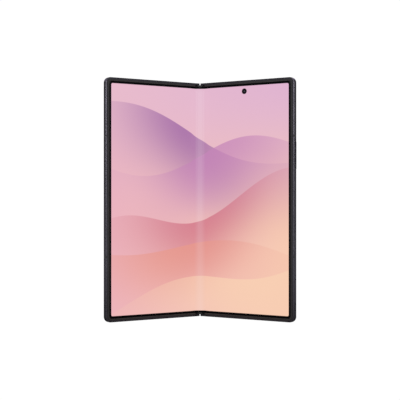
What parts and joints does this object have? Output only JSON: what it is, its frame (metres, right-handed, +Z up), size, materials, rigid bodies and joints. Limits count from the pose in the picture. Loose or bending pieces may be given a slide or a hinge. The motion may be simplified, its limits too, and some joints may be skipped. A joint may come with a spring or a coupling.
{
  "type": "foldable smartphone",
  "caption": "Book-style foldable phone standing half open: two thin halves on a geared two-axis hinge, a creased inner screen, side keys, rear camera island and charging port.",
  "frame": {"origin": "on the ground in the middle of the standing phone's footprint, midway between the outer edges and midway through its depth", "axes": "+Z up along the fold, +X to the right as the inner screen is seen, +Y away from the viewer, towards the spine"},
  "size_m": [0.1245, 0.0406, 0.1584],
  "materials": {
    "frame_metal": "satin anodised, dark graphite",
    "key_metal": "satin anodised, dark graphite",
    "spine_metal": "brushed and anodised, dark graphite",
    "rim_plastic": "fine matt, black",
    "cap_plastic": "fine matt, black",
    "inner_screen": "glossy polymer film over a lit flexible panel with soft pink and peach waves",
    "outer_glass": "polished glass over a dark panel",
    "cover_panel": "switched-off panel",
    "aerial_plastic": "moulded, a shade off the frame",
    "hinge_steel": "sintered and ground steel",
    "pin_steel": "polished steel",
    "plate_metal": "die cast and machined",
    "screw_steel": "plated steel",
    "camera_metal": "fine turned rings, satin",
    "camera_black": "black, slightly glossy",
    "camera_glass": "coated glass",
    "flash_lens": "yellowish phosphor behind a clear ribbed lens",
    "battery_wrap": "black foil wrap",
    "board": "solder mask",
    "shield": "tinned sheet",
    "copper": "enamelled copper",
    "flex": "polyimide film",
    "port_steel": "drawn steel shell",
    "speaker_box": "moulded",
    "magnet": "nickel plated"
  },
  "bodies": {
    "spine": {"spine_cover": "spine_metal", "spine_end_caps": "cap_plastic", "fold_support": "hinge_steel", "display_fold_zone": "inner_screen", "hinge_flex_cables": "flex", "upper_hinge_bracket": "hinge_steel", "lower_hinge_bracket": "hinge_steel", "hinge_pins": "pin_steel", "friction_springs": "pin_steel", "spine_screws": "screw_steel"},
    "left_half": {"left_frame": "frame_metal", "left_midplate": "plate_metal", "left_bezel": "rim_plastic", "left_display": "inner_screen", "cover_glass": "outer_glass", "cover_display": "cover_panel", "cover_camera": "camera_black", "left_battery": "battery_wrap", "sub_board": "board", "upper_speaker": "speaker_box", "vibration_motor": "speaker_box", "sim_reader": "shield", "left_antenna_bands": "aerial_plastic", "left_screws": "screw_steel", "left_magnets": "magnet", "upper_left_arm": "hinge_steel", "lower_left_arm": "hinge_steel"},
    "right_half": {"right_frame": "frame_metal", "right_midplate": "plate_metal", "right_bezel": "rim_plastic", "right_display": "inner_screen", "rear_glass": "outer_glass", "inner_camera": "camera_black", "camera_island": "camera_metal", "camera_lenses": "camera_glass", "camera_modules": "camera_black", "camera_flash": "flash_lens", "main_battery": "battery_wrap", "main_board": "board", "board_shields": "shield", "usb_c_port": "port_steel", "lower_speaker": "speaker_box", "key_switches": "flex", "charging_coil": "copper", "right_antenna_bands": "aerial_plastic", "right_screws": "screw_steel", "right_magnets": "magnet", "upper_right_arm": "hinge_steel", "lower_right_arm": "hinge_steel"},
    "left_wing": {"left_wing_plate": "hinge_steel"},
    "right_wing": {"right_wing_plate": "hinge_steel"},
    "left_idlers": {"upper_left_idler": "pin_steel", "lower_left_idler": "pin_steel"},
    "right_idlers": {"upper_right_idler": "pin_steel", "lower_right_idler": "pin_steel"},
    "volume_key": {"volume_key": "key_metal"},
    "side_key": {"side_key": "key_metal"},
    "sim_tray": {"sim_tray": "frame_metal"}
  },
  "joints": [
    {"name": "left_fold", "type": "hinge", "parent": "spine", "child": "left_half", "pos_m": [-0.0019, 0.01734, 0], "axis": [0, 0, 1], "range_deg": [-31.7, 58.3], "deforming": ["display_fold_zone", "hinge_flex_cables"]},
    {"name": "right_fold", "type": "hinge", "parent": "spine", "child": "right_half", "pos_m": [0.0019, 0.01734, 0], "axis": [0, 0, 1], "range_deg": [-58.3, 31.7]},
    {"name": "left_wing_tilt", "type": "hinge", "parent": "left_half", "child": "left_wing", "pos_m": [-0.00695, 0.01343, 0], "axis": [0, 0, 1], "range_deg": [-9.16, 16.85]},
    {"name": "right_wing_tilt", "type": "hinge", "parent": "right_half", "child": "right_wing", "pos_m": [0.00695, 0.01343, 0], "axis": [0, 0, 1], "range_deg": [-16.85, 9.16]},
    {"name": "left_idler_spin", "type": "hinge", "parent": "spine", "child": "left_idlers", "pos_m": [-0.00063, 0.01734, 0], "axis": [0, 0, 1], "range_deg": [-58.3, 31.7]},
    {"name": "right_idler_spin", "type": "hinge", "parent": "spine", "child": "right_idlers", "pos_m": [0.00063, 0.01734, 0], "axis": [0, 0, 1], "range_deg": [-31.7, 58.3]},
    {"name": "volume_key_rock", "type": "hinge", "parent": "right_half", "child": "volume_key", "pos_m": [0.05982, -0.01772, 0.1078], "axis": [0.5255, 0.8508, 0], "range_deg": [-1.2, 1.2], "stiffness_Nm_per_rad": 0.3},
    {"name": "side_key_press", "type": "slide", "parent": "right_half", "child": "side_key", "axis": [-0.8508, 0.5255, 0], "range_m": [0, 0.00025], "stiffness_N_per_m": 4000},
    {"name": "sim_tray_slide", "type": "slide", "parent": "left_half", "child": "sim_tray", "axis": [0, 0, 1], "range_m": [0, 0.018]}
  ],
  "couplings": [
    {"joint": "right_fold", "follows": "left_fold", "ratio": -1},
    {"joint": "left_wing_tilt", "follows": "left_fold", "ratio": 0.289},
    {"joint": "right_wing_tilt", "follows": "left_fold", "ratio": -0.289},
    {"joint": "left_idler_spin", "follows": "left_fold", "ratio": -1},
    {"joint": "right_idler_spin", "follows": "left_fold", "ratio": 1}
  ]
}
